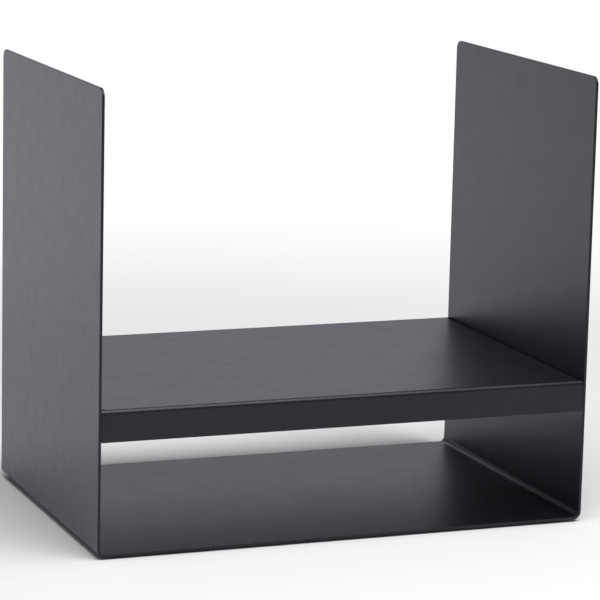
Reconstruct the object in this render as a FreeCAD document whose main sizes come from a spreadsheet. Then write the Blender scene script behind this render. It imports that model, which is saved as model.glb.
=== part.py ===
import FreeCAD, Part
import math
import os

import Sketcher

# Log holder of bent sheet steel
#
# One sheet makes both sides and the base. A shelf, folded down along its four edges, is held
# between the sides by weld studs and cap nuts. The holder stands on four rubber pads.
# Millimetres. X runs from left to right, Y from front to back and Z up. The origin lies on the
# floor, under the middle of the base.

# Driving dimensions
DIMENSIONS = {
    # Shell: the two sides and the base
    "inside_width": 450.0,      # clear width between the sides
    "depth": 300.0,             # front to back, shell and shelf alike
    "side_height": 400.0,       # from the underside of the base to the top of the sides
    "sheet_thickness": 2.5,     # shell and shelf alike
    "bend_radius": 5.0,         # inside radius of the bends at the foot of the sides
    "corner_radius": 8.0,       # free corners of the sides
    # Shelf
    "bay_height": 97.5,         # clear height between the base and the shelf's flanges
    "flange_height": 28.0,      # flanges on all four edges, from the top of the shelf
    "fold_radius": 1.5,         # inside radius of the four folds
    "flange_corner": 1.0,       # lower corners of the flanges
    "relief_width": 2.0,        # slot between two folds at a corner of the shelf
    "relief_land": 0.5,         # flat strip between a fold and the slot
    "shelf_clearance": 0.3,     # front and rear flanges to each side
    # Weld studs
    "stud_spacing": 170.0,      # front stud to rear stud
    "stud_diameter": 6.0,
    "stud_chamfer": 0.6,
    "stud_tip_gap": 0.6,        # tip of the stud to the end of the nut's bore
    "collar_diameter": 7.5,     # weld collar at the foot of a stud
    "collar_height": 1.0,
    "collar_clearance": 0.5,    # weld collar to the hole in the shelf, all round
    # Washers
    "washer_diameter": 12.0,
    "washer_thickness": 1.6,
    "washer_clearance": 0.2,    # stud to washer, all round
    # Cap nuts
    "nut_across_flats": 10.0,
    "nut_hex_height": 5.0,
    "nut_height": 12.0,
    "dome_diameter": 9.5,
    "bore_depth": 8.0,
    "thread_clearance": 0.1,    # stud to nut, all round
    # Floor pads
    "pad_diameter": 22.0,
    "pad_thickness": 2.0,
    "pad_inset": 25.0,          # middle of a pad from the outside of the shell, both ways
}

# Places that repeat
SIDES = {"left": -1, "right": 1}
ROWS = {"front": -1, "rear": 1}

# Slope of the cone that trims the corners of a hexagon nut
NUT_CONE_SLOPE = math.tan(math.radians(30))

# Points of a sketched line or circle, and a sketch's own axes, in the sketcher's order.
# The level axis starts at the origin.
START, END, CENTRE = range(1, 4)
LEVEL_AXIS, UPRIGHT_AXIS = range(-1, -3, -1)

# An edge passes through a point that is nearer to it than this
TOUCH = 1e-4


class Size:
    """A length: its value in millimetres, and the formula of sheet cells that gives it."""

    def __init__(self, value, formula):
        self.value = value
        self.formula = formula

    def __add__(self, other):
        return Size(self.value + other.value, f"({self.formula} + {other.formula})")

    def __sub__(self, other):
        return Size(self.value - other.value, f"({self.formula} - {other.formula})")

    def __mul__(self, factor):
        return Size(self.value * factor, f"({self.formula} * {factor})")

    def __truediv__(self, divisor):
        return Size(self.value / divisor, f"({self.formula} / {divisor})")

    def __neg__(self):
        return self * -1


doc = FreeCAD.newDocument("log_holder")
sheet = doc.addObject("Spreadsheet::Sheet", "dims")
for row, (alias, millimetres) in enumerate(DIMENSIONS.items(), start=1):
    sheet.set(f"A{row}", alias)
    sheet.set(f"B{row}", str(millimetres))
    sheet.setAlias(f"B{row}", alias)
doc.recompute()


def size(alias):
    """The driving dimension of that name."""
    return Size(DIMENSIONS[alias], f"dims.{alias}")


# Sizes and levels that several pieces share
thickness = size("sheet_thickness")
outer_bend = size("bend_radius") + thickness
outer_fold = size("fold_radius") + thickness
half_inside = size("inside_width") / 2
half_outside = half_inside + thickness
half_depth = size("depth") / 2
base_under = size("pad_thickness")
base_top = base_under + thickness
side_top = base_under + size("side_height")
flange_bottom = base_top + size("bay_height")
shelf_top = flange_bottom + size("flange_height")
shelf_under = shelf_top - thickness
stud_level = flange_bottom + (size("flange_height") - outer_fold) / 2
stud_reach = size("stud_spacing") / 2
stud_hole = size("collar_diameter") + size("collar_clearance") * 2


def bind(item, attribute, length):
    """Tie an attribute of an object to the sheet."""
    item.setExpression(attribute, length.formula)


def new_body(name):
    """An empty body that carries its piece's name."""
    body = doc.addObject("PartDesign::Body", name)
    body.Label = name
    return body


def new_sketch(body, name, plane_role):
    """A sketch on one of the body's own origin planes."""
    sketch = body.newObject("Sketcher::SketchObject", name)
    plane = next(item for item in body.Origin.OriginFeatures if item.Role == plane_role)
    sketch.AttachmentSupport = [(plane, "")]
    sketch.MapMode = "FlatFace"
    return sketch


def hold(sketch, geometry, point, direction, distance):
    """Hold a point at a distance from the sketch's origin, or on its axis where there is none."""
    if distance is None:
        axis = UPRIGHT_AXIS if direction == "DistanceX" else LEVEL_AXIS
        sketch.addConstraint(Sketcher.Constraint("PointOnObject", geometry, point, axis))
        return
    dimension = Sketcher.Constraint(direction, LEVEL_AXIS, START, geometry, point, distance.value)
    number = sketch.addConstraint(dimension)
    bind(sketch, f"Constraints[{number}]", distance)


def polygon(sketch, corners):
    """A closed outline of straight lines, with each corner held both ways from the origin."""
    points = []
    for across, up in corners:
        x_start = across.value if across else 0.0
        y_start = up.value if up else 0.0
        points.append(FreeCAD.Vector(x_start, y_start, 0))
    lines = []
    for index, point in enumerate(points):
        following = points[(index + 1) % len(points)]
        lines.append(sketch.addGeometry(Part.LineSegment(point, following)))
    for index, line in enumerate(lines):
        following = lines[(index + 1) % len(lines)]
        sketch.addConstraint(Sketcher.Constraint("Coincident", line, END, following, START))
        hold(sketch, line, START, "DistanceX", corners[index][0])
        hold(sketch, line, START, "DistanceY", corners[index][1])


def circle(sketch, diameter, across=None, up=None):
    """A circle about the sketch's origin, or about a point held both ways from it."""
    x_start = across.value if across else 0.0
    y_start = up.value if up else 0.0
    middle = FreeCAD.Vector(x_start, y_start, 0)
    ring = sketch.addGeometry(Part.Circle(middle, FreeCAD.Vector(0, 0, 1), diameter.value / 2))
    hold(sketch, ring, CENTRE, "DistanceX", across)
    hold(sketch, ring, CENTRE, "DistanceY", up)
    number = sketch.addConstraint(Sketcher.Constraint("Diameter", ring, diameter.value))
    bind(sketch, f"Constraints[{number}]", diameter)


def pad(body, name, sketch, length, side_type="One side"):
    """A sketch pulled up into a solid."""
    feature = body.newObject("PartDesign::Pad", name)
    feature.Profile = sketch
    feature.SideType = side_type
    bind(feature, "Length", length)
    doc.recompute()
    return feature


def confirm_cut(feature):
    """Stop where a cut took nothing away."""
    if feature.Shape.Volume >= feature.BaseFeature.Shape.Volume:
        raise RuntimeError(f"{feature.Label} cuts nothing")


def cut_through(body, name, sketch):
    """A sketch cut through everything on both sides of its plane."""
    feature = body.newObject("PartDesign::Pocket", name)
    feature.Profile = sketch
    feature.SideType = "Symmetric"
    feature.Type = "ThroughAll"
    doc.recompute()
    confirm_cut(feature)
    return feature


def edges_through(feature, points):
    """Names of the edges that pass through the points, one for each."""
    names = []
    for point in points:
        mark = Part.Vertex(FreeCAD.Vector(*(length.value if length else 0.0 for length in point)))
        found = [
            f"Edge{number}"
            for number, edge in enumerate(feature.Shape.Edges, start=1)
            if edge.distToShape(mark)[0] < TOUCH
        ]
        if len(found) != 1:
            raise RuntimeError(f"{feature.Label}: {len(found)} edges at {mark.Point}")
        names.extend(found)
    return names


def fillet(body, name, feature, points, radius):
    """Round the edges that pass through the points."""
    rounding = body.newObject("PartDesign::Fillet", name)
    rounding.Base = (feature, edges_through(feature, points))
    bind(rounding, "Radius", radius)
    doc.recompute()
    return rounding


def make_shell():
    """Both sides and the base: a U pulled from front to back, with its corners rounded."""
    body = new_body("bent_shell")
    profile = new_sketch(body, "shell_profile", "XZ_Plane")
    polygon(profile, [
        (-half_outside, side_top),
        (-half_outside, base_under),
        (half_outside, base_under),
        (half_outside, side_top),
        (half_inside, side_top),
        (half_inside, base_top),
        (-half_inside, base_top),
        (-half_inside, side_top),
    ])
    sharp = pad(body, "sharp_shell", profile, size("depth"), "Symmetric")
    outside = [(half_outside * side, None, base_under) for side in SIDES.values()]
    bent_outside = fillet(body, "outer_bends", sharp, outside, outer_bend)
    inside = [(half_inside * side, None, base_top) for side in SIDES.values()]
    bent = fillet(body, "inner_bends", bent_outside, inside, size("bend_radius"))
    middle_of_side = half_inside + thickness / 2
    free_corners = [
        (middle_of_side * side, half_depth * row, side_top)
        for side in SIDES.values()
        for row in ROWS.values()
    ]
    fillet(body, "free_corners", bent, free_corners, size("corner_radius"))
    return body


def make_shelf():
    """The shelf: a channel across the holder, with a flange folded down at each end as well."""
    body = new_body("shelf_tray")
    channel_profile = new_sketch(body, "channel_profile", "YZ_Plane")
    inner_depth = half_depth - thickness
    polygon(channel_profile, [
        (-half_depth, flange_bottom),
        (-half_depth, shelf_top),
        (half_depth, shelf_top),
        (half_depth, flange_bottom),
        (inner_depth, flange_bottom),
        (inner_depth, shelf_under),
        (-inner_depth, shelf_under),
        (-inner_depth, flange_bottom),
    ])
    channel_length = size("inside_width") - size("shelf_clearance") * 2
    pad(body, "channel", channel_profile, channel_length, "Symmetric")

    # The plate ends where the end folds begin. Front and rear folds run on to the sides.
    fold_start = half_inside - outer_fold - size("relief_land")
    fold_limit = half_depth - outer_fold - size("relief_land")
    end_outline = new_sketch(body, "end_outline", "XY_Plane")
    for side in SIDES.values():
        polygon(end_outline, [
            (fold_start * side, -fold_limit),
            (half_inside * side, -fold_limit),
            (half_inside * side, fold_limit),
            (fold_start * side, fold_limit),
        ])
    cut_through(body, "end_cuts", end_outline)

    # End folds, shorter than the cuts by a relief slot at each corner
    end_profile = new_sketch(body, "end_profile", "XZ_Plane")
    inner_end = half_inside - thickness
    for side in SIDES.values():
        polygon(end_profile, [
            (fold_start * side, shelf_top),
            (half_inside * side, shelf_top),
            (half_inside * side, flange_bottom),
            (inner_end * side, flange_bottom),
            (inner_end * side, shelf_under),
            (fold_start * side, shelf_under),
        ])
    end_half = fold_limit - size("relief_width")
    folded = pad(body, "end_folds", end_profile, end_half * 2, "Symmetric")

    outside = [(None, half_depth * row, shelf_top) for row in ROWS.values()]
    outside += [(half_inside * side, None, shelf_top) for side in SIDES.values()]
    round_outside = fillet(body, "outer_folds", folded, outside, outer_fold)
    inside = [(None, inner_depth * row, shelf_under) for row in ROWS.values()]
    inside += [(inner_end * side, None, shelf_under) for side in SIDES.values()]
    round_folds = fillet(body, "inner_folds", round_outside, inside, size("fold_radius"))

    channel_end = half_inside - size("shelf_clearance")
    long_flange_middle = half_depth - thickness / 2
    end_flange_middle = half_inside - thickness / 2
    flange_corners = []
    for side in SIDES.values():
        for row in ROWS.values():
            flange_corners.append((channel_end * side, long_flange_middle * row, flange_bottom))
            flange_corners.append((end_flange_middle * side, end_half * row, flange_bottom))
    fillet(body, "flange_corners", round_folds, flange_corners, size("flange_corner"))

    stud_holes = new_sketch(body, "stud_hole_places", "YZ_Plane")
    for row in ROWS.values():
        circle(stud_holes, stud_hole, stud_reach * row, stud_level)
    cut_through(body, "stud_holes", stud_holes)
    return body


def seat_on_side(body, side, row, stand_off):
    """Turn a fastener's own Z axis away from a side, and set its foot off that side's inner face."""
    body.Placement.Rotation = FreeCAD.Rotation(FreeCAD.Vector(0, 1, 0), -90 * side)
    wall = half_inside - stand_off if stand_off else half_inside
    bind(body, "Placement.Base.x", wall * side)
    bind(body, "Placement.Base.y", stud_reach * row)
    bind(body, "Placement.Base.z", stud_level)


def make_stud(name):
    """Weld stud: a collar on the side's face, and a thread that ends inside the cap nut."""
    body = new_body(name)
    collar_radius = size("collar_diameter") / 2
    radius = size("stud_diameter") / 2
    chamfer = size("stud_chamfer")
    length = thickness + size("washer_thickness") + size("bore_depth") - size("stud_tip_gap")
    profile = new_sketch(body, "stud_profile", "XZ_Plane")
    polygon(profile, [
        (None, None),
        (collar_radius, None),
        (collar_radius, size("collar_height")),
        (radius, size("collar_height")),
        (radius, length - chamfer),
        (radius - chamfer, length),
        (None, length),
    ])
    turned = body.newObject("PartDesign::Revolution", "turned_stud")
    turned.Profile = profile
    turned.ReferenceAxis = (profile, ["V_Axis"])
    turned.Angle = 360
    return body


def make_washer(name):
    """Plain washer."""
    body = new_body(name)
    ring = new_sketch(body, "washer_ring", "XY_Plane")
    circle(ring, size("washer_diameter"))
    circle(ring, size("stud_diameter") + size("washer_clearance") * 2)
    pad(body, "washer_plate", ring, size("washer_thickness"))
    return body


def make_cap_nut(name):
    """Domed nut: a hexagon with coned corners, a dome on it, and a blind bore."""
    body = new_body(name)
    hexagon = body.newObject("PartDesign::AdditivePrism", "hexagon")
    hexagon.Polygon = 6
    bind(hexagon, "Circumradius", size("nut_across_flats") / math.sqrt(3))
    bind(hexagon, "Height", size("nut_hex_height"))
    doc.recompute()

    flat = size("nut_across_flats") / 2
    cone_reach = flat
    cone_rise = cone_reach * NUT_CONE_SLOPE
    hex_top = size("nut_hex_height")
    trim = new_sketch(body, "corner_trim", "XZ_Plane")
    polygon(trim, [(flat, None), (flat + cone_reach, None), (flat + cone_reach, cone_rise)])
    polygon(trim, [(flat, hex_top), (flat + cone_reach, hex_top - cone_rise), (flat + cone_reach, hex_top)])
    coned = body.newObject("PartDesign::Groove", "coned_corners")
    coned.Profile = trim
    coned.ReferenceAxis = (trim, ["V_Axis"])
    coned.Angle = 360
    doc.recompute()
    confirm_cut(coned)

    dome_radius = size("dome_diameter") / 2
    dome_level = size("nut_height") - dome_radius
    neck = body.newObject("PartDesign::AdditiveCylinder", "neck")
    bind(neck, "Radius", dome_radius)
    bind(neck, "Height", dome_level)
    doc.recompute()
    dome = body.newObject("PartDesign::AdditiveSphere", "dome")
    bind(dome, "Radius", dome_radius)
    bind(dome, "Placement.Base.z", dome_level)
    doc.recompute()

    bore_ring = new_sketch(body, "bore_ring", "XY_Plane")
    circle(bore_ring, size("stud_diameter") + size("thread_clearance") * 2)
    bore = body.newObject("PartDesign::Pocket", "bore")
    bore.Profile = bore_ring
    bore.Reversed = True
    bind(bore, "Length", size("bore_depth"))
    doc.recompute()
    confirm_cut(bore)
    return body


def make_floor_pad(name, side, row):
    """Rubber disc under the base, near one of its corners."""
    body = new_body(name)
    ring = new_sketch(body, "pad_ring", "XY_Plane")
    circle(ring, size("pad_diameter"))
    pad(body, "pad_disc", ring, size("pad_thickness"))
    bind(body, "Placement.Base.x", (half_outside - size("pad_inset")) * side)
    bind(body, "Placement.Base.y", (half_depth - size("pad_inset")) * row)
    return body


pieces = [make_shell(), make_shelf()]
for side_name, side in SIDES.items():
    for row_name, row in ROWS.items():
        place = f"{side_name}_{row_name}"
        stud = make_stud(f"weld_stud_{place}")
        seat_on_side(stud, side, row, None)
        washer = make_washer(f"washer_{place}")
        seat_on_side(washer, side, row, thickness)
        nut = make_cap_nut(f"cap_nut_{place}")
        seat_on_side(nut, side, row, thickness + size("washer_thickness"))
        floor_pad = make_floor_pad(f"floor_pad_{place}", side, row)
        pieces += [stud, washer, nut, floor_pad]
doc.recompute()

# Every feature has to be sound before anything is written
for item in doc.Objects:
    if "Invalid" in item.State or "Error" in item.State:
        raise RuntimeError(f"{item.Label} failed: {item.State}")
for piece in pieces:
    if piece.Shape.isNull() or not piece.Shape.isValid():
        raise RuntimeError(f"{piece.Label} has no valid shape")

os.makedirs("parts", exist_ok=True)
for piece in pieces:
    piece.Shape.exportStep(f"parts/{piece.Label}.step")
    print(f"{piece.Label}: {len(piece.Shape.Solids)} solid, {piece.Shape.Volume:.0f} mm3")
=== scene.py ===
# %% [markdown]
# # A log holder folded from sheet steel
#
# The real holder is plain sheet-metal work. One long blank is bent twice and becomes the left
# side, the base and the right side. A second blank is folded down along its four edges and
# becomes the shelf. Studs, washers and domed nuts hold the shelf from inside, so that no fixing
# shows on the outer faces, and four rubber discs keep the steel off the floor.
#
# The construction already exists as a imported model. This script loads that model first, because
# every piece made here takes its size and place from it.

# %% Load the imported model
import math

import bpy
import numpy as np
from mathutils import Matrix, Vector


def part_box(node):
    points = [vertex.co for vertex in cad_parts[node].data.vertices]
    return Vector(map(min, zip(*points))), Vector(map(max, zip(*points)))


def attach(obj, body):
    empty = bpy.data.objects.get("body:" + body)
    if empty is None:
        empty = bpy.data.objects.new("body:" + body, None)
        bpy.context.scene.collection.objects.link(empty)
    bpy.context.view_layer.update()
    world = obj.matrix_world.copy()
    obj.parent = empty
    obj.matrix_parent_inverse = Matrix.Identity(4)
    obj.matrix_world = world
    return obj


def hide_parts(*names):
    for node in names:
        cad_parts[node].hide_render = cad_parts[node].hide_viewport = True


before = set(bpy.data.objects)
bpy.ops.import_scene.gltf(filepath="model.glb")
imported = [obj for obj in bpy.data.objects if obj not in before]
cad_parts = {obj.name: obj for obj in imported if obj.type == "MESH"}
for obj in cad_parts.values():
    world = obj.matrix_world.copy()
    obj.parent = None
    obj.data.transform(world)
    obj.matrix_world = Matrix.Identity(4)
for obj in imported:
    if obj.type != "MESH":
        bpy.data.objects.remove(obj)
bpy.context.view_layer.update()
print("packed nodes:", ", ".join(sorted(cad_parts)))

# %% [markdown]
# ## Sizes from the model
#
# The boxes around the nodes give nearly every size. The shell reaches to the outside of the holder
# and the shelf reaches from one side to the other inside it, so the difference is the thickness of
# the sheet. Reading sizes is better than typing them again: a typed copy is wrong as soon as the
# model changes. Only what no box can tell, such as the radius of a bend, is a number here.

# %% Read the reaches and levels, in metres
shell_low, shell_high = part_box("bent_shell")
shelf_low, shelf_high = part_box("shelf_tray")
half_outside = shell_high.x
half_inside = shelf_high.x
half_depth = shell_high.y
thickness = half_outside - half_inside
base_middle = shell_low.z + thickness / 2
shelf_middle = shelf_high.z - thickness / 2

print(f"sheet {thickness * 1000:.2f} mm, clear width {half_inside * 2000:.1f} mm")

# %% [markdown]
# ## Grid lines
#
# Each sheet is a grid of points, and a grid needs lines where something happens: at both ends of a
# bend, round a corner, beside a cut. An even grid would spend most of its lines on flat steel. The
# first helper follows runs, each run an end and a number of equal cells. The second starts at the
# middle and mirrors the lines, because the holder is the same on both sides of its middle.

# %% Lay out grid lines
def run_lines(start, *runs):
    """Lines from a start on, with equal cells in each run, which begins where the last one ended."""
    lines = [np.array([start])]
    for end, cells in runs:
        lines.append(np.linspace(lines[-1][-1], end, cells + 1)[1:])
    return np.concatenate(lines)


def mirrored_lines(*runs):
    """Lines from 0 outwards, and the same lines with a minus sign."""
    half = run_lines(0.0, *runs)
    return np.concatenate([-half[:0:-1], half])


print("example:", mirrored_lines((1, 2), (4, 1)))

# %% [markdown]
# ## Rounding a corner of a blank
#
# A cutter leaves the free corners of a blank round. A grid has square corners, so the points near a
# corner have to move. Squeezing whole rows together would crowd them against the edge. Here each
# little square at a corner is turned into a quarter disc instead: square rings become round rings,
# one inside the other, and the distance between rings stays the same.

# %% Turn the squares at the corners into quarter discs
QUARTER_TURN = math.pi / 2
NEARLY_ZERO = 1e-12


def ring_angle(across, along):
    """Angle on a round ring of a point on a square ring, from the first axis towards the second.

    The share of the smaller offset in the larger one, from 0 to 1, becomes 0 to 45 degrees, and past
    the diagonal the same is counted back from 90 degrees."""
    larger = np.maximum(np.maximum(across, along), NEARLY_ZERO)
    eighth = np.minimum(across, along) / larger * QUARTER_TURN / 2
    return np.where(across >= along, eighth, QUARTER_TURN - eighth)


def round_corners(across, along, half_across, half_along, radius):
    """Move the points in the corner squares of a blank.

    The square ring at distance m from a square's inner corner becomes a circle of radius m."""
    u = np.abs(across) - (half_across - radius)
    v = np.abs(along) - (half_along - radius)
    corner = (u > 0) & (v > 0)
    angle = ring_angle(np.abs(u), np.abs(v))
    ring = np.maximum(u, v)
    round_across = np.sign(across) * (half_across - radius + ring * np.cos(angle))
    round_along = np.sign(along) * (half_along - radius + ring * np.sin(angle))
    return np.where(corner, round_across, across), np.where(corner, round_along, along)


tip_across, tip_along = round_corners(np.ones(1), np.ones(1), 1, 1, 1)
print(f"example: the corner at 1, 1 moves to {tip_across[0]:.3f}, {tip_along[0]:.3f}")

# %% [markdown]
# ## Folding a blank
#
# A press brake turns a flat blank into a folded part, and a formula can do the same to a whole grid
# at once. A Simple Deform modifier bends too, but in one arc from end to end, so nothing stays flat.
# Here nothing changes up to the bend. In the bend the sheet follows a quarter circle, measured at the
# middle of the sheet, where its length stays the same. Past the bend it goes straight on. The radius
# is given each time, because the shell is bent wide and the shelf is folded tightly.

# %% Carry distances on the blank round a bend
def fold(flat, start, radius):
    """How far out and how far up a point on the blank ends, one bend on each side of the middle.

    Past the start of the bend the angle is the distance divided by the radius, at most a quarter
    turn. The bend adds radius * sin(angle) outwards and radius * (1 - cos(angle)) upwards. What is
    left of the distance goes straight up."""
    past = np.clip(np.abs(flat) - start, 0, None)
    angle = np.minimum(past / radius, QUARTER_TURN)
    straight = np.clip(past - radius * QUARTER_TURN, 0, None)
    out = np.minimum(np.abs(flat), start) + radius * np.sin(angle)
    up = radius * (1 - np.cos(angle)) + straight
    return np.sign(flat) * out, up


fold_out, fold_up = fold(np.array([3.0]), 1, 1)
print(f"example: 3 along the blank ends {fold_out[0]:.2f} out and {fold_up[0]:.2f} up")

# %% [markdown]
# ## From arrays to meshes
#
# A grid of points becomes a mesh once its cells are listed, four corner numbers each. A loop could
# list them one by one. The numbers follow from the grid alone, so one array gives them all at once.
# Points that fall together, as at the tip of a dome or where two grids meet, are joined, and points
# that no cell uses are dropped.

# %% List the cells of a grid
def grid_cells(rows, columns, close_rows=False, close_columns=False):
    """Corner numbers of every cell of a grid.

    A closed direction runs on from its last line to its first."""
    numbers = np.arange(rows * columns).reshape(rows, columns)
    if close_rows:
        numbers = np.vstack([numbers, numbers[:1]])
    if close_columns:
        numbers = np.hstack([numbers, numbers[:, :1]])
    corners = [numbers[:-1, :-1], numbers[1:, :-1], numbers[1:, 1:], numbers[:-1, 1:]]
    return np.stack(corners, axis=-1).reshape(-1, 4)


print("example:", grid_cells(2, 3).tolist())

# %% Join points that fall together
HAIR = 1e-6


def join_points(points, cells):
    """Points nearer than a hair become one, and a cell with a side of no length becomes a triangle."""
    used, cells = np.unique(cells, return_inverse=True)
    points = points[used]
    cells = cells.reshape(-1, 4)
    keys = np.round(points / HAIR).astype(np.int64)
    _, first, number = np.unique(keys, axis=0, return_index=True, return_inverse=True)
    cells = number.reshape(-1)[cells]
    no_last_side = cells[:, 3] == cells[:, 0]
    no_second_side = cells[:, 1] == cells[:, 2]
    whole = cells[~(no_last_side | no_second_side)]
    triangles = np.vstack([cells[no_last_side][:, :3], cells[no_second_side][:, [0, 2, 3]]])
    return points[first], whole, triangles


fan_points, _, fan_triangles = join_points(
    np.array([(0, 0, 0), (0, 0, 0), (1, 0, 0), (1, 1, 0)]), grid_cells(2, 2)
)
print(f"example: two corners in one place leave {len(fan_points)} points, {len(fan_triangles)} triangle")


# %% Make the object
def new_piece(name, points, cells):
    """A smooth-shaded mesh object at the origin, its place in its points."""
    points, whole, triangles = join_points(points, cells)
    mesh = bpy.data.meshes.new(name)
    mesh.from_pydata(points, [], whole.tolist() + triangles.tolist(), shade_flat=False)
    piece = bpy.data.objects.new(name, mesh)
    bpy.context.scene.collection.objects.link(piece)
    print(f"{name}: {len(points)} points, {len(whole) + len(triangles)} faces")
    return piece


# %% [markdown]
# ## The thickness and the edges of a sheet
#
# So far a sheet is a surface at the middle of the steel. A second grid could be its other face. The
# Solidify modifier does that with one number, half of the thickness to each side. The cut edges of a
# coated sheet are never sharp: they are broken before coating and the powder rounds them further. A
# small Bevel makes the thin bright line that shows along such an edge. The Weighted Normal modifier
# then keeps the large faces flat in shading.

# %% Finish a sheet
EDGE_BREAK = 0.0004
EDGE_CELLS = 3
SHARP_ANGLE = math.radians(40)


def finish_sheet(piece):
    """Thickness, broken edges and even shading, as live modifiers."""
    solid = piece.modifiers.new("thickness", "SOLIDIFY")
    solid.thickness = thickness
    solid.offset = 0
    solid.use_even_offset = True
    solid.use_quality_normals = True
    bevel = piece.modifiers.new("broken_edges", "BEVEL")
    bevel.width = EDGE_BREAK
    bevel.segments = EDGE_CELLS
    bevel.limit_method = "ANGLE"
    bevel.angle_limit = SHARP_ANGLE
    shading = piece.modifiers.new("even_shading", "WEIGHTED_NORMAL")
    shading.keep_sharp = True
    return piece


print(f"edges broken by {EDGE_BREAK * 1000:.1f} mm")

# %% [markdown]
# ## The shell: both sides and the base
#
# On the real holder the sides and the base are one sheet. Three separate plates would need seams,
# and none shows at the foot of the sides, where the sheet runs round in a bend. So this piece is one
# blank: a long rectangle with round corners, folded up on both sides of its middle. A line close
# beside each end of a bend, at the distance called EASE, keeps the bend's shading off the flat faces.

# %% Lines of the shell's blank
BEND_RADIUS = 0.005
BEND_CELLS = 16
CORNER_RADIUS = 0.008
CORNER_CELLS = 6
BASE_CELLS = 6
SIDE_CELLS = 8
DEPTH_CELLS = 5
EASE = 0.0015

bend_middle = BEND_RADIUS + thickness / 2
bend_arc = bend_middle * QUARTER_TURN
shell_bend = half_inside - BEND_RADIUS
shell_side = shell_high.z - base_middle - bend_middle
shell_end = shell_bend + bend_arc + shell_side
shell_lines = mirrored_lines(
    (shell_bend - EASE, BASE_CELLS),
    (shell_bend, 1),
    (shell_bend + bend_arc, BEND_CELLS),
    (shell_bend + bend_arc + EASE, 1),
    (shell_end - CORNER_RADIUS, SIDE_CELLS),
    (shell_end, CORNER_CELLS),
)
depth_lines = mirrored_lines((half_depth - CORNER_RADIUS, DEPTH_CELLS), (half_depth, CORNER_CELLS))
print(f"shell blank {2000 * shell_end:.1f} mm by {2000 * half_depth:.1f} mm")


# %% Fold the shell
def shell_points():
    """A rectangle of shell_end by half_depth on each side, corners rounded, then folded up."""
    across, along = np.meshgrid(shell_lines, depth_lines, indexing="ij")
    across, along = round_corners(across, along, shell_end, half_depth, CORNER_RADIUS)
    out, up = fold(across, shell_bend, bend_middle)
    return np.stack([out, along, base_middle + up], axis=-1).reshape(-1, 3)


shell = finish_sheet(
    new_piece("shell_sheet", shell_points(), grid_cells(len(shell_lines), len(depth_lines)))
)
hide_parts("bent_shell")
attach(shell, "root")

# %% [markdown]
# ## The shelf
#
# The shelf is a tray turned upside down. Its front and rear flanges are the long ones. A flange at
# each end lies against a side of the holder and carries the studs. The folds are much tighter than
# the bends of the shell, so the shelf's front edge looks crisp. Where two folds come near each other
# the blank has a small slot, because steel that bends two ways at once would tear. The slots show as
# small dark gaps at the ends of the long folds. Beside the long flanges is a narrow gap to the sides.
# Powder lies on both of its faces and nearly closes it, so it hardly shows.
#
# One grid can't hold this outline well, so there are three that share their edge points. The first
# is the plate with the two long folds. The other two are the end folds.

# %% Sizes of the shelf's blank
FOLD_RADIUS = 0.0015
FLANGE_CORNER = 0.001
RELIEF_WIDTH = 0.002
RELIEF_LAND = 0.0005
SHELF_CLEARANCE = 0.0003
COAT_THICKNESS = 0.0001

fold_middle = FOLD_RADIUS + thickness / 2
fold_arc = fold_middle * QUARTER_TURN
outer_fold = FOLD_RADIUS + thickness
end_fold = half_inside - outer_fold
long_fold = half_depth - outer_fold
flange_run = shelf_high.z - outer_fold - shelf_low.z
end_blank = end_fold + fold_arc + flange_run
long_blank = long_fold + fold_arc + flange_run
plate_end = end_fold - RELIEF_LAND
slot_front = long_fold - RELIEF_LAND
slot_back = slot_front - RELIEF_WIDTH
long_half = half_inside - SHELF_CLEARANCE + 2 * COAT_THICKNESS
print(f"shelf blank {2000 * end_blank:.1f} mm by {2000 * long_blank:.1f} mm")

# %% Lines of the shelf's blank
FOLD_CELLS = 8
PLATE_CELLS = 8
ROW_CELLS = 5
DROP_CELLS = 4
FLANGE_CORNER_CELLS = 2
HOLE_SQUARE = 0.003
HOLE_MARGIN = 0.007
HOLE_CELLS = 8
MARGIN_CELLS = 2

stud_low, stud_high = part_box("weld_stud_right_rear")
stud_reach = (stud_low.y + stud_high.y) / 2
plate_lines = mirrored_lines(
    (plate_end, PLATE_CELLS),
    (long_half - FLANGE_CORNER, 1),
    (long_half, FLANGE_CORNER_CELLS),
)
row_lines = mirrored_lines(
    (stud_reach - HOLE_MARGIN, ROW_CELLS),
    (stud_reach - HOLE_SQUARE, MARGIN_CELLS),
    (stud_reach + HOLE_SQUARE, HOLE_CELLS),
    (stud_reach + HOLE_MARGIN, MARGIN_CELLS),
    (slot_back - FLANGE_CORNER, ROW_CELLS),
    (slot_back, FLANGE_CORNER_CELLS),
    (slot_front, 1),
    (long_fold, 1),
    (long_fold + fold_arc, FOLD_CELLS),
    (long_fold + fold_arc + EASE, 1),
    (long_blank - FLANGE_CORNER, DROP_CELLS),
    (long_blank, FLANGE_CORNER_CELLS),
)
print(f"{len(plate_lines)} lines across the plate, {len(row_lines)} along it")


# %% The plate with its front and rear folds
def plate_grid():
    """A rectangle long_half by long_blank, lower flange corners rounded, folded down along two edges.

    Beyond the plate's own end only the strips in front of and behind the slots are kept."""
    across, along = np.meshgrid(plate_lines, row_lines, indexing="ij")
    across, along = round_corners(across, along, long_half, long_blank, FLANGE_CORNER)
    out, down = fold(along, long_fold, fold_middle)
    points = np.stack([across, out, shelf_middle - down], axis=-1)
    cells = grid_cells(len(plate_lines), len(row_lines))
    centre_x = np.abs(plate_lines[:-1] + plate_lines[1:]) / 2
    centre_y = np.abs(row_lines[:-1] + row_lines[1:]) / 2
    kept = (centre_x[:, None] < plate_end) | (centre_y[None, :] > slot_front)
    return points.reshape(-1, 3), cells[kept.reshape(-1)]


plate = plate_grid()
print("plate:", len(plate[1]), "cells")

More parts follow.
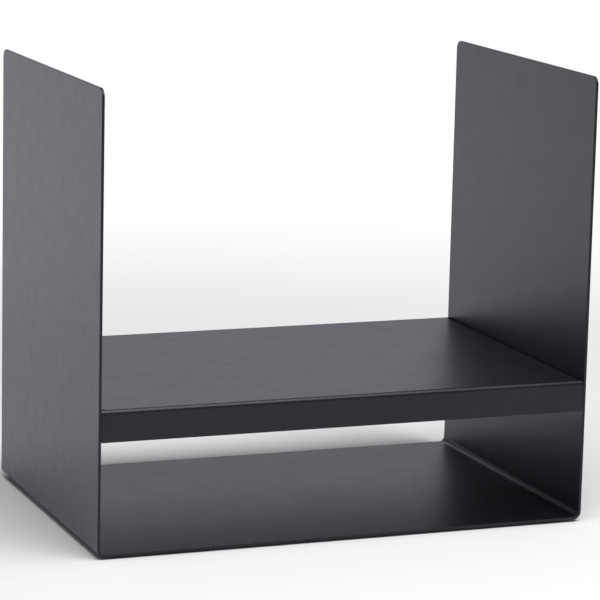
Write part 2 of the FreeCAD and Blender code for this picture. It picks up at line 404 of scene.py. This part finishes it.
# %% [markdown]
# A Boolean modifier can cut a round hole, but it leaves long thin faces beside it. A hole in a square
# grid can use the ring trick again. A block of cells is taken out, the points round the block move
# onto a circle, and further out each point moves less, until at the margin it stays where it was.

# %% Open a round hole
HOLE_RADIUS = 0.00425


def open_hole(across, along):
    """Push the points round the middle of a hole outwards.

    A point whose larger offset is HOLE_SQUARE lands on the circle, one at HOLE_MARGIN stays, and
    between them the share of the way from square to margin mixes the two places."""
    larger = np.maximum(np.abs(across), np.abs(along))
    share = np.clip((larger - HOLE_SQUARE) / (HOLE_MARGIN - HOLE_SQUARE), 0, 1)
    angle = ring_angle(np.abs(across), np.abs(along))
    circle_across = HOLE_RADIUS * np.cos(angle) * np.sign(across)
    circle_along = HOLE_RADIUS * np.sin(angle) * np.sign(along)
    moved_across = circle_across + (across - circle_across) * share
    moved_along = circle_along + (along - circle_along) * share
    return moved_across, moved_along


hole_rim, _ = open_hole(np.array([HOLE_SQUARE]), np.zeros(1))
print(f"example: {HOLE_SQUARE * 1000:.2f} mm from the middle moves to {hole_rim[0] * 1000:.2f} mm")

# %% The end folds, with their stud holes
NECK_CELLS = 2

hole_on_blank = end_fold + fold_arc + flange_run / 2
end_lines = run_lines(
    plate_end,
    (end_fold, 1),
    (end_fold + fold_arc, FOLD_CELLS),
    (hole_on_blank - HOLE_MARGIN, NECK_CELLS),
    (hole_on_blank - HOLE_SQUARE, MARGIN_CELLS),
    (hole_on_blank + HOLE_SQUARE, HOLE_CELLS),
    (hole_on_blank + HOLE_MARGIN, MARGIN_CELLS),
    (end_blank - FLANGE_CORNER, 1),
    (end_blank, FLANGE_CORNER_CELLS),
)
end_rows = row_lines[np.abs(row_lines) < slot_back + HAIR]


def end_grid(side):
    """From the plate's end round the fold to the flange's lower edge, between the two slots.

    Its lower corners are rounded, points near a hole move outwards, and the cells in it are left out."""
    across, along = np.meshgrid(end_lines, end_rows, indexing="ij")
    across, along = round_corners(across, along, end_blank, slot_back, FLANGE_CORNER)
    from_hole = np.abs(along) - stud_reach
    near = np.maximum(np.abs(across - hole_on_blank), np.abs(from_hole)) < HOLE_MARGIN
    hole_across, hole_along = open_hole(across - hole_on_blank, from_hole)
    across = np.where(near, hole_on_blank + hole_across, across)
    along = np.where(near, np.sign(along) * (stud_reach + hole_along), along)
    out, down = fold(across, end_fold, fold_middle)
    points = np.stack([side * out, along, shelf_middle - down], axis=-1)
    cells = grid_cells(len(end_lines), len(end_rows))[:, ::side]
    centre_across = (end_lines[:-1] + end_lines[1:]) / 2 - hole_on_blank
    centre_along = np.abs(end_rows[:-1] + end_rows[1:]) / 2 - stud_reach
    from_middle = np.maximum(np.abs(centre_across)[:, None], np.abs(centre_along)[None, :])
    return points.reshape(-1, 3), cells[(from_middle > HOLE_SQUARE).reshape(-1)]


left_end = end_grid(-1)
right_end = end_grid(1)
print("end folds:", len(left_end[1]), "and", len(right_end[1]), "cells")


# %% Join the three grids
def joined(*grids):
    """Points one after the other, and cell numbers moved on by the points before them."""
    starts = np.cumsum([0] + [len(points) for points, _ in grids[:-1]])
    points = np.vstack([points for points, _ in grids])
    cells = np.vstack([cells + start for (_, cells), start in zip(grids, starts)])
    return points, cells


shelf = finish_sheet(new_piece("shelf_sheet", *joined(plate, left_end, right_end)))
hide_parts("shelf_tray")
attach(shelf, "root")

# %% [markdown]
# ## Turned fasteners
#
# Studs, washers and nuts are all a profile carried round an axis. The Screw modifier can turn a
# profile, but then the radius depends on the height alone. Here it may also change with the angle, so
# the same helper makes a hexagon or a thread. The four places are a loop. On the right the fastener
# is turned half round about the depth axis, not mirrored, so that its faces keep pointing outwards.

# %% Carry a profile round an axis
def around(count):
    """Equal steps round a circle, as a row."""
    return np.arange(count) * 2 * math.pi / count


def turned_piece(name, height, radius, angles, closed_profile=False):
    """Points at height along the axis, and at radius * cos(angle) and radius * sin(angle) across it.

    Height and radius have a row for each station of the profile, and radius may have a column for
    each angle."""
    height, radius, angles = np.broadcast_arrays(height, radius, angles)
    points = np.stack([height, radius * np.cos(angles), radius * np.sin(angles)], axis=-1)
    cells = grid_cells(*angles.shape, close_rows=closed_profile, close_columns=True)
    return new_piece(name, points.reshape(-1, 3), cells)


def shade_by_angle(piece):
    """Smooth over gentle edges and sharp over the rest."""
    piece.data.set_sharp_from_angle(angle=SHARP_ANGLE)


print("example: four steps at", np.degrees(around(4)), "degrees")

# %% Seat a fastener on a side
SIDES = {"left": -1, "right": 1}
ROWS = {"front": -1, "rear": 1}
PLACES = [(f"{side}_{row}", SIDES[side], ROWS[row]) for side in SIDES for row in ROWS]

stud_level = shelf_low.z + flange_run / 2


def seat(piece, wall, side, row):
    """Turn a fastener's axis away from a side of the holder and put its foot at that wall.

    Both go into the mesh, so the object stays at the origin."""
    turn = Matrix.Rotation(math.pi if side > 0 else 0, 4, "Y")
    place = Matrix.Translation((side * wall, row * stud_reach, stud_level))
    piece.data.transform(place @ turn)
    piece.data.update()


print("places:", ", ".join(place_name for place_name, _, _ in PLACES))

# %% [markdown]
# ### Washers
#
# Washers are stamped and then tumbled, which rounds their rims. The section is a rectangle with
# quarter circles at the corners, a closed profile, so the surface closes on itself in both directions.

# %% Washers
WASHER_RIM = 0.00025
RIM_CELLS = 4
THREAD_DIAMETER = 0.006
WASHER_CLEARANCE = 0.0002
WASHER_STEPS = 64

washer_low, washer_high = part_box("washer_right_front")
washer_outer = (washer_high.z - washer_low.z) / 2
washer_inner = THREAD_DIAMETER / 2 + WASHER_CLEARANCE
washer_thickness = washer_high.x - washer_low.x


def ring_section(inner, outer, height, rim):
    """A rectangle with a quarter circle of radius rim at each corner, as columns of heights and radii.

    Quarter i turns from i * 90 degrees to the next. It starts at the outer corner of the upper face, so
    that the outer wall runs downwards."""
    quarter = np.linspace(0, QUARTER_TURN, RIM_CELLS + 1)
    turn = np.concatenate([quarter + i * QUARTER_TURN for i in range(4)])
    middles = [
        (height - rim, outer - rim),
        (rim, outer - rim),
        (rim, inner + rim),
        (height - rim, inner + rim),
    ]
    level, reach = np.repeat(np.array(middles), RIM_CELLS + 1, axis=0).T
    return (level + rim * np.cos(turn))[:, None], (reach + rim * np.sin(turn))[:, None]


washer_section = ring_section(washer_inner, washer_outer, washer_thickness, WASHER_RIM)
washers = []
for place_name, side, row in PLACES:
    washer = turned_piece(
        f"flat_washer_{place_name}", *washer_section, around(WASHER_STEPS), closed_profile=True
    )
    seat(washer, washer_high.x, side, row)
    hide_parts(f"washer_{place_name}")
    washers.append(washer)

# %% [markdown]
# ### Domed nuts
#
# A domed nut covers the end of the thread, where a hand that reaches under the shelf would find it.
# Its radius is the smallest of three: the hexagon, which depends on the angle, and two shallow cones
# that trim the six corners above and below. The arcs that these cones draw on the flats come out by
# themselves. Above the hexagon follow a short neck and half a ball, and inside a blind bore.

# %% Surface of a domed nut
NUT_HEX_HEIGHT = 0.005
NUT_CONE = math.radians(30)
SIXTH_TURN = math.pi / 3
DOME_DIAMETER = 0.0095
BORE_DEPTH = 0.008
BORE_MOUTH = 0.0004
THREAD_CLEARANCE = 0.0001
DOME_CELLS = 14
CONE_CELLS = 6

nut_low, nut_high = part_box("cap_nut_right_front")
nut_height = nut_high.x - nut_low.x
nut_flat = (nut_high.y - nut_low.y) / 2
dome_radius = DOME_DIAMETER / 2
bore_radius = THREAD_DIAMETER / 2 + THREAD_CLEARANCE


def nut_surface(angles):
    """Heights and radii of a domed nut, from the top of the dome down the outside and up the bore.

    The hexagon's radius is the half width over flats divided by the cosine of the angle to the nearest
    flat. Each cone starts at that half width on a face and widens by height / tan(30 degrees)."""
    to_flat = (angles + SIXTH_TURN / 2) % SIXTH_TURN - SIXTH_TURN / 2
    hexagon = nut_flat / np.cos(to_flat)
    trimmed = (nut_flat / math.cos(SIXTH_TURN / 2) - nut_flat) * math.tan(NUT_CONE)
    rise = np.linspace(0, trimmed, CONE_CELLS + 1)
    hex_levels = np.concatenate([NUT_HEX_HEIGHT - rise, rise[::-1]])[:, None]
    to_face = np.minimum(hex_levels, NUT_HEX_HEIGHT - hex_levels)
    hex_radius = np.minimum(hexagon, nut_flat + to_face / math.tan(NUT_CONE))
    polar = np.linspace(0, QUARTER_TURN, DOME_CELLS + 1)[:, None]
    dome_levels = nut_height - dome_radius + dome_radius * np.cos(polar)
    bore = np.array([
        (0, bore_radius + BORE_MOUTH),
        (BORE_MOUTH, bore_radius),
        (BORE_DEPTH, bore_radius),
        (BORE_DEPTH, 0),
    ])
    levels = [dome_levels, [[NUT_HEX_HEIGHT]], hex_levels, bore[:, :1]]
    radii = [dome_radius * np.sin(polar), [[dome_radius]], hex_radius, bore[:, 1:]]
    radii = [np.broadcast_to(radius, (len(radius), len(angles))) for radius in radii]
    return np.vstack(levels), np.vstack(radii)


print(f"nut {nut_flat * 2000:.1f} mm over flats, {nut_height * 1000:.1f} mm high")

# %% Domed nuts
NUT_STEPS = 96

nut_angles = around(NUT_STEPS)
nuts = []
for place_name, side, row in PLACES:
    nut = turned_piece(f"domed_nut_{place_name}", *nut_surface(nut_angles), nut_angles)
    seat(nut, nut_high.x, side, row)
    shade_by_angle(nut)
    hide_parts(f"cap_nut_{place_name}")
    nuts.append(nut)

# %% [markdown]
# ### Threaded studs
#
# A thread is a ridge that climbs by one pitch in each turn. As a surface it needs no sweeping along a
# helix: the radius depends on height / pitch - angle / turn, and only the part after the point
# counts. A triangle wave of that number, with its top and bottom cut off, is the section of the
# thread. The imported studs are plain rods, so these replace them.

# %% Surface of a threaded stud
THREAD_PITCH = 0.001
THREAD_DEPTH = 0.00061
THREAD_FLAT = 0.1
COLLAR_HEIGHT = 0.001
STUD_CHAMFER = 0.0006
ROWS_PER_PITCH = 14

stud_length = stud_high.x - stud_low.x
collar_radius = (stud_high.z - stud_low.z) / 2


def stud_surface(angles):
    """Heights and radii of a stud from its tip down the thread to the collar and the foot.

    The ridge is 1 - |2 * phase - 1|, stretched so that THREAD_FLAT of it is cut off at top and bottom,
    and a cone trims it at the tip."""
    count = int((stud_length - COLLAR_HEIGHT) / THREAD_PITCH * ROWS_PER_PITCH)
    levels = np.linspace(stud_length, COLLAR_HEIGHT, count)[:, None]
    phase = (levels / THREAD_PITCH - angles / (2 * math.pi)) % 1
    ridge = 1 - np.abs(2 * phase - 1)
    ridge = np.clip((ridge - THREAD_FLAT) / (1 - 2 * THREAD_FLAT), 0, 1)
    thread = THREAD_DIAMETER / 2 - THREAD_DEPTH * (1 - ridge)
    cone = THREAD_DIAMETER / 2 - STUD_CHAMFER + (stud_length - levels)
    foot = np.array([(COLLAR_HEIGHT, collar_radius), (0, collar_radius), (0, 0)])
    heights = np.vstack([[[stud_length]], levels, foot[:, :1]])
    radii = [np.zeros((1, 1)), np.minimum(thread, cone), foot[:, 1:]]
    radii = [np.broadcast_to(radius, (len(radius), len(angles))) for radius in radii]
    return heights, np.vstack(radii)


print(f"stud {stud_length * 1000:.1f} mm long, collar {collar_radius * 2000:.1f} mm across")

# %% Threaded studs
STUD_STEPS = 48

stud_angles = around(STUD_STEPS)
studs = []
for place_name, side, row in PLACES:
    stud = turned_piece(f"threaded_stud_{place_name}", *stud_surface(stud_angles), stud_angles)
    seat(stud, stud_high.x, side, row)
    shade_by_angle(stud)
    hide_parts(f"weld_stud_{place_name}")
    studs.append(stud)

# %% [markdown]
# ## Rubber feet
#
# The base would scratch a floor with its cut edges, so it stands on four thin discs of rubber. A plain
# cylinder would look machined. A die-cut disc has soft rims, so its profile has a quarter circle above
# and below its wall, and the helper that turned the fasteners turns it too.

# %% Rubber feet
FOOT_RIM = 0.0005
FOOT_STEPS = 96

foot_low, foot_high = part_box("floor_pad_right_front")
foot_radius = (foot_high.x - foot_low.x) / 2
foot_thickness = foot_high.z - foot_low.z
upright = Matrix.Rotation(-QUARTER_TURN, 4, "Y")


def foot_profile():
    """Heights and radii of a disc with rims of a quarter circle, from the middle of its top down."""
    quarter = np.linspace(0, QUARTER_TURN, RIM_CELLS + 1)
    upper = foot_thickness - FOOT_RIM + FOOT_RIM * np.cos(quarter)
    reach = foot_radius - FOOT_RIM + FOOT_RIM * np.sin(quarter)
    heights = np.concatenate([[foot_thickness], upper, foot_thickness - upper[::-1], [0]])
    radii = np.concatenate([[0], reach, reach[::-1], [0]])
    return heights[:, None], radii[:, None]


feet = []
for place_name, _, _ in PLACES:
    node = f"floor_pad_{place_name}"
    low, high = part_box(node)
    foot_place = ((low.x + high.x) / 2, (low.y + high.y) / 2, low.z)
    foot = turned_piece(f"rubber_foot_{place_name}", *foot_profile(), around(FOOT_STEPS))
    foot.data.transform(Matrix.Translation(foot_place) @ upright)
    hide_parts(node)
    feet.append(foot)

# %% [markdown]
# ## What the small pieces belong to
#
# No part of the holder moves against another, so it is one body, and every fastener and foot rides on
# that body. Parenting them to the shell would hold them too, but a body is what the imported model moves.

# %% Fasteners and feet move with the holder's one body
for slot_name, group in {"zinc_plate": washers + nuts, "stud_steel": studs, "rubber": feet}.items():
    for piece in group:
        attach(piece, "root")
    print(f"{slot_name}: {len(group)} pieces")

# %% [markdown]
# ## Effects that several finishes share
#
# No real finish is even. A coat of powder is a little thicker here and a little smoother there, and
# so are zinc and rubber. Each material could have its own nodes for that. Two node groups make it once
# for all of them: soft patches that change tone and gloss, and fine bumps that break up reflections.
# Both read the place on the piece in metres, so their sizes are real sizes, and each material places
# them with its own values.

# %% Node helpers
def active_socket(sockets, name):
    """The socket of that name or number.

    Some nodes hold a socket of one name for each type of data, and only one of them is in use."""
    if isinstance(name, int):
        return sockets[name]
    return next(socket for socket in sockets if socket.name == name and socket.enabled)


def add_node(tree, kind, inputs=None, **properties):
    """A new node. An input that is given a socket is linked to it, and any other is set."""
    made = tree.nodes.new(kind)
    for name, value in properties.items():
        setattr(made, name, value)
    for name, value in (inputs or {}).items():
        if isinstance(value, bpy.types.NodeSocket):
            tree.links.new(value, active_socket(made.inputs, name))
        else:
            active_socket(made.inputs, name).default_value = value
    return made


def new_group(name, inputs, output):
    """An empty shader group: its tree, its input sockets and its output node."""
    tree = bpy.data.node_groups.new(name, "ShaderNodeTree")
    for socket_name, socket_type in inputs.items():
        tree.interface.new_socket(socket_name, in_out="INPUT", socket_type=socket_type)
    tree.interface.new_socket(output, in_out="OUTPUT", socket_type="NodeSocketFloat")
    return tree, tree.nodes.new("NodeGroupInput").outputs, tree.nodes.new("NodeGroupOutput")


# %% Soft patches
LOW_PATCH, HIGH_PATCH = 0.3, 0.7


def make_soft_patches():
    """Noise of a given patch size in metres, spread to run from 0 to 1."""
    tree, given, result = new_group(
        "soft_patches", {"Place": "NodeSocketVector", "Patch Size": "NodeSocketFloat"}, "Amount"
    )
    scale = add_node(tree, "ShaderNodeMath", {0: 1.0, 1: given["Patch Size"]}, operation="DIVIDE")
    noise = add_node(
        tree, "ShaderNodeTexNoise",
        {"Vector": given["Place"], "Scale": scale.outputs[0], "Detail": 3.0, "Roughness": 0.5},
    )
    spread = add_node(
        tree, "ShaderNodeMapRange",
        {"Value": noise.outputs["Fac"], "From Min": LOW_PATCH, "From Max": HIGH_PATCH},
    )
    tree.links.new(spread.outputs["Result"], result.inputs["Amount"])
    return tree


soft_patches = make_soft_patches()
print("group:", soft_patches.name)

# %% Fine bumps
GRAIN_FINENESS = 4.0
GRAIN_SHARE = 0.2


def make_fine_bumps():
    """Rounded swells of a given size in metres, plus GRAIN_SHARE of a finer grain, as a height."""
    tree, given, result = new_group(
        "fine_bumps", {"Place": "NodeSocketVector", "Bump Size": "NodeSocketFloat"}, "Height"
    )
    scale = add_node(tree, "ShaderNodeMath", {0: 1.0, 1: given["Bump Size"]}, operation="DIVIDE")
    finer = add_node(
        tree, "ShaderNodeMath", {0: scale.outputs[0], 1: GRAIN_FINENESS}, operation="MULTIPLY"
    )
    swell = add_node(
        tree, "ShaderNodeTexNoise",
        {"Vector": given["Place"], "Scale": scale.outputs[0], "Detail": 0.0},
    )
    grain = add_node(
        tree, "ShaderNodeTexNoise",
        {"Vector": given["Place"], "Scale": finer.outputs[0], "Detail": 1.0},
    )
    height = add_node(
        tree, "ShaderNodeMath",
        {0: grain.outputs["Fac"], 1: GRAIN_SHARE, 2: swell.outputs["Fac"]}, operation="MULTIPLY_ADD",
    )
    tree.links.new(height.outputs[0], result.inputs["Height"])
    return tree


fine_bumps = make_fine_bumps()
print("group:", fine_bumps.name)

# %% A group in a material, and a clear skin
LOW_BUMP, HIGH_BUMP = 0.35, 0.85


def group_value(tree, group, place, **sizes):
    """What a group puts out at a place on the piece, with this material's own sizes."""
    inputs = {name.replace("_", " "): size for name, size in sizes.items()}
    return add_node(tree, "ShaderNodeGroup", {"Place": place, **inputs}, node_tree=group).outputs[0]


def skin_weight(tree, height, thin, thick):
    """The share of a clear skin, from thin at LOW_BUMP to thick at HIGH_BUMP in a straight line."""
    share = add_node(
        tree, "ShaderNodeMapRange",
        {"Value": height, "From Min": LOW_BUMP, "From Max": HIGH_BUMP, "To Min": thin, "To Max": thick},
    )
    return share.outputs["Result"]


# %% A material from two tones, two roughnesses and a relief
SMALL_PATCHES = 6


def finish_material(
    name, tones, roughness, patch_size, bump_size, relief, stretch=(1, 1, 1), skin=None, **shader
):
    """A Principled material whose tone and roughness follow soft patches, with fine bumps on it.

    The bumps are relief metres high. Where there is a clear skin, it is thinner in the hollows and
    thicker on the bumps. What is the same all over is set on the shader's own sockets."""
    material = bpy.data.materials.new(name)
    material.use_nodes = True
    tree = material.node_tree
    bsdf = tree.nodes["Principled BSDF"]
    for socket, value in shader.items():
        bsdf.inputs[socket.replace("_", " ")].default_value = value
    coordinates = add_node(tree, "ShaderNodeTexCoord")
    place = add_node(
        tree, "ShaderNodeMapping", {"Vector": coordinates.outputs["Object"], "Scale": stretch}
    ).outputs["Vector"]
    broad = group_value(tree, soft_patches, place, Patch_Size=patch_size)
    small = group_value(tree, soft_patches, place, Patch_Size=patch_size / SMALL_PATCHES)
    height = group_value(tree, fine_bumps, place, Bump_Size=bump_size)
    darker, lighter = [(*colour, 1) for colour in tones]
    tone = add_node(
        tree, "ShaderNodeMix", {"Factor": broad, "A": darker, "B": lighter}, data_type="RGBA"
    )
    gloss = add_node(
        tree, "ShaderNodeMapRange", {"Value": small, "To Min": roughness[0], "To Max": roughness[1]}
    )
    bump = add_node(tree, "ShaderNodeBump", {"Height": height, "Strength": 1.0, "Distance": relief})
    if skin:
        tree.links.new(skin_weight(tree, height, *skin), bsdf.inputs["Coat Weight"])
    tree.links.new(active_socket(tone.outputs, "Result"), bsdf.inputs["Base Color"])
    tree.links.new(gloss.outputs["Result"], bsdf.inputs["Roughness"])
    tree.links.new(bump.outputs["Normal"], bsdf.inputs["Normal"])
    print(f"material: {name}")
    return material


# %% [markdown]
# ## The four finishes
#
# The sheet is coated with a satin black powder. The black is a little blue and lies under a thin
# clear skin that swells very slightly, like orange peel, and is thinner in the hollows. Seen from
# straight ahead the skin shows the black below it. At a flat angle it mirrors the room, so the outer
# faces and the base look grey. Both layers have a low reflection of their own, set by Specular Tint
# and Coat Weight, because one strong layer would turn the front of the shelf grey too. Nuts and
# washers are bright zinc plate, a metal. The studs are plain turned steel, so their grain is stretched
# round the axis. The feet are matt rubber.

# %% Make the finishes
powder_coat = finish_material(
    "satin_black_powder_coat",
    tones=[(0.0032, 0.0038, 0.0058), (0.0042, 0.0049, 0.0072)],
    roughness=(0.36, 0.41), patch_size=0.09, bump_size=0.0018, relief=0.00004,
    skin=(0.46, 0.58), IOR=1.55, Specular_Tint=(0.22, 0.23, 0.29, 1),
    Coat_Roughness=0.385, Coat_IOR=1.5, Coat_Tint=(0.80, 0.84, 1, 1),
)
zinc_plate = finish_material(
    "bright_zinc_plate",
    tones=[(0.58, 0.59, 0.61), (0.66, 0.67, 0.70)],
    roughness=(0.24, 0.36), patch_size=0.006, bump_size=0.0006, relief=0.0000015, Metallic=1.0,
)
turned_steel = finish_material(
    "turned_steel",
    tones=[(0.46, 0.45, 0.43), (0.54, 0.53, 0.51)],
    roughness=(0.28, 0.40), patch_size=0.004, bump_size=0.0004, relief=0.0000015,
    stretch=(3, 0.3, 0.3), Metallic=1.0,
)
matt_rubber = finish_material(
    "matt_black_rubber",
    tones=[(0.018, 0.018, 0.019), (0.030, 0.030, 0.030)],
    roughness=(0.70, 0.85), patch_size=0.008, bump_size=0.0005, relief=0.00002, IOR=1.5,
)

# %% Give each piece its finish
for material, group in [
    (powder_coat, [shell, shelf]),
    (zinc_plate, washers + nuts),
    (turned_steel, studs),
    (matt_rubber, feet),
]:
    for piece in group:
        piece.data.materials.append(material)
    print(f"{material.name}: {len(group)} pieces")

# %% [markdown]
# ## Floor, light and camera
#
# The holder stands on a plain pale floor in soft light. Black steel shows little of its own: what one
# sees on it is the floor and the room in reflection. So these count as much as the lamps. Near the
# holder the floor is an ordinary matt surface that takes a soft shadow. Further away it turns into
# plain white for the camera and for reflections alone, which gives no more light to the holder.

# %% Finish of the floor
FLOOR_COLOUR = (0.90, 0.90, 0.90, 1)
WHITE = (1, 1, 1, 1)
WHITE_FROM = 0.4
WHITE_AT = 1.6


def seen_directly(tree):
    """1 for rays from the camera, from gloss or through glass, and 0 for light that falls on things."""
    path = add_node(tree, "ShaderNodeLightPath").outputs
    seen = path["Is Camera Ray"]
    for other in ("Is Glossy Ray", "Is Transmission Ray"):
        either = add_node(tree, "ShaderNodeMath", {0: seen, 1: path[other]}, operation="MAXIMUM")
        seen = either.outputs[0]
    return seen


def floor_material():
    """Matt near the middle, and white from WHITE_AT metres on for rays that see the floor directly.

    The share of white is a smooth step of the distance, from 0 at WHITE_FROM to 1 at WHITE_AT."""
    material = bpy.data.materials.new("pale_floor")
    material.use_nodes = True
    tree = material.node_tree
    tree.nodes.clear()
    matt = add_node(tree, "ShaderNodeBsdfDiffuse", {"Color": FLOOR_COLOUR})
    white = add_node(tree, "ShaderNodeEmission", {"Color": WHITE, "Strength": 1.0})
    coordinates = add_node(tree, "ShaderNodeTexCoord")
    distance = add_node(
        tree, "ShaderNodeVectorMath", {0: coordinates.outputs["Object"]}, operation="LENGTH"
    )
    far = add_node(
        tree, "ShaderNodeMapRange",
        {"Value": distance.outputs["Value"], "From Min": WHITE_FROM, "From Max": WHITE_AT},
        interpolation_type="SMOOTHSTEP",
    )
    share = add_node(
        tree, "ShaderNodeMath", {0: far.outputs["Result"], 1: seen_directly(tree)}, operation="MULTIPLY"
    )
    mixed = add_node(
        tree, "ShaderNodeMixShader", {0: share.outputs[0], 1: matt.outputs[0], 2: white.outputs[0]}
    )
    add_node(tree, "ShaderNodeOutputMaterial", {"Surface": mixed.outputs[0]})
    return material


print(f"the floor turns white between {WHITE_FROM:.1f} m and {WHITE_AT:.1f} m")

# %% Floor
FLOOR_HALF = 20.0


def make_floor():
    """One large square at the level on which the feet stand."""
    corners = np.array([(-1, -1, 0), (1, -1, 0), (1, 1, 0), (-1, 1, 0)]) * FLOOR_HALF
    mesh = bpy.data.meshes.new("floor")
    mesh.from_pydata(corners, [], [(0, 1, 2, 3)])
    mesh.materials.append(floor_material())
    floor = bpy.data.objects.new("floor", mesh)
    bpy.context.scene.collection.objects.link(floor)
    print(f"floor {2 * FLOOR_HALF:.0f} m square")
    return floor


make_floor()

# %% [markdown]
# The room is an even grey, paler than the steel and darker than the floor. A soft lamp above the front
# lights the floor. A weaker soft panel, wider than it is high, stands behind and a little to the right.
# The base and the shelf mirror it, and so does the round bend at the foot of the right side, which
# shows as a light line in a dark corner. Both are lamps and not bright cards, so that nothing stands in
# the way of other views.

# %% Room and lamps
ROOM_COLOUR = (0.96, 0.97, 1, 1)
ROOM_STRENGTH = 0.22
LAMPS = {
    "soft_lamp": {"power": 52.0, "size": (1.8, 1.8), "place": (0.1, -0.75, 2.1)},
    "soft_panel": {"power": 7.4, "size": (2.5, 1.6), "place": (0.65, 2.5, 1.4)},
}


def make_room():
    """An even surround that lights the holder a little from everywhere."""
    world = bpy.data.worlds.new("grey_room")
    world.use_nodes = True
    background = world.node_tree.nodes["Background"]
    background.inputs["Color"].default_value = ROOM_COLOUR
    background.inputs["Strength"].default_value = ROOM_STRENGTH
    bpy.context.scene.world = world
    print(f"room at a strength of {ROOM_STRENGTH:.2f}")


def make_lamp(name, power, size, place):
    """A soft rectangle turned towards the holder, seen in reflections and not by the camera."""
    light = bpy.data.lights.new(name, "AREA")
    light.energy = power
    light.shape = "RECTANGLE"
    light.size, light.size_y = size
    lamp = bpy.data.objects.new(name, light)
    bpy.context.scene.collection.objects.link(lamp)
    lamp.location = place
    lamp.rotation_euler = (-lamp.location).to_track_quat("-Z", "Y").to_euler()
    lamp.visible_camera = False
    print(f"{name}: {power:.1f} W, {lamp.location.length:.2f} m away")


make_room()
for lamp_name, lamp_values in LAMPS.items():
    make_lamp(lamp_name, **lamp_values)

# %% [markdown]
# The photograph was taken from the left front and a little above with a long lens, so parallel edges
# hardly draw together. A camera can be moved by eye until the picture looks right. Here its place, its
# three turns and its lens were worked out from the corners of the holder, whose real places are known.
# The focal length in pixels of the picture becomes millimetres on the sensor.

# %% Camera
IMAGE_WIDTH = 600
SENSOR_WIDTH = 36.0
FOCAL_PIXELS = 3054.1
YAW, PITCH, ROLL = 0.3729, 0.1915, -0.0235
CAMERA_PLACE = (-0.98206, -2.53600, 0.71319)


def make_camera():
    """A long lens that looks to the right and down from the left front, turned a little on its axis.

    Forward has sin(yaw) * cos(pitch) to the right, cos(yaw) * cos(pitch) to the back and sin(pitch)
    down. Roll mixes the level direction and the one below it by its cosine and sine."""
    forward = np.array([
        math.sin(YAW) * math.cos(PITCH), math.cos(YAW) * math.cos(PITCH), -math.sin(PITCH)
    ])
    level = np.array([math.cos(YAW), -math.sin(YAW), 0])
    down = np.cross(forward, level)
    right = math.cos(ROLL) * level + math.sin(ROLL) * down
    up = math.sin(ROLL) * level - math.cos(ROLL) * down
    turn = Matrix(np.column_stack([right, up, -forward]).tolist()).to_4x4()
    lens = bpy.data.cameras.new("camera")
    lens.sensor_width = SENSOR_WIDTH
    lens.lens = FOCAL_PIXELS * SENSOR_WIDTH / IMAGE_WIDTH
    camera = bpy.data.objects.new("camera", lens)
    bpy.context.scene.collection.objects.link(camera)
    camera.matrix_world = Matrix.Translation(CAMERA_PLACE) @ turn
    bpy.context.scene.camera = camera
    print(f"lens {lens.lens:.1f} mm")


make_camera()
bpy.context.scene.view_settings.view_transform = "Standard"
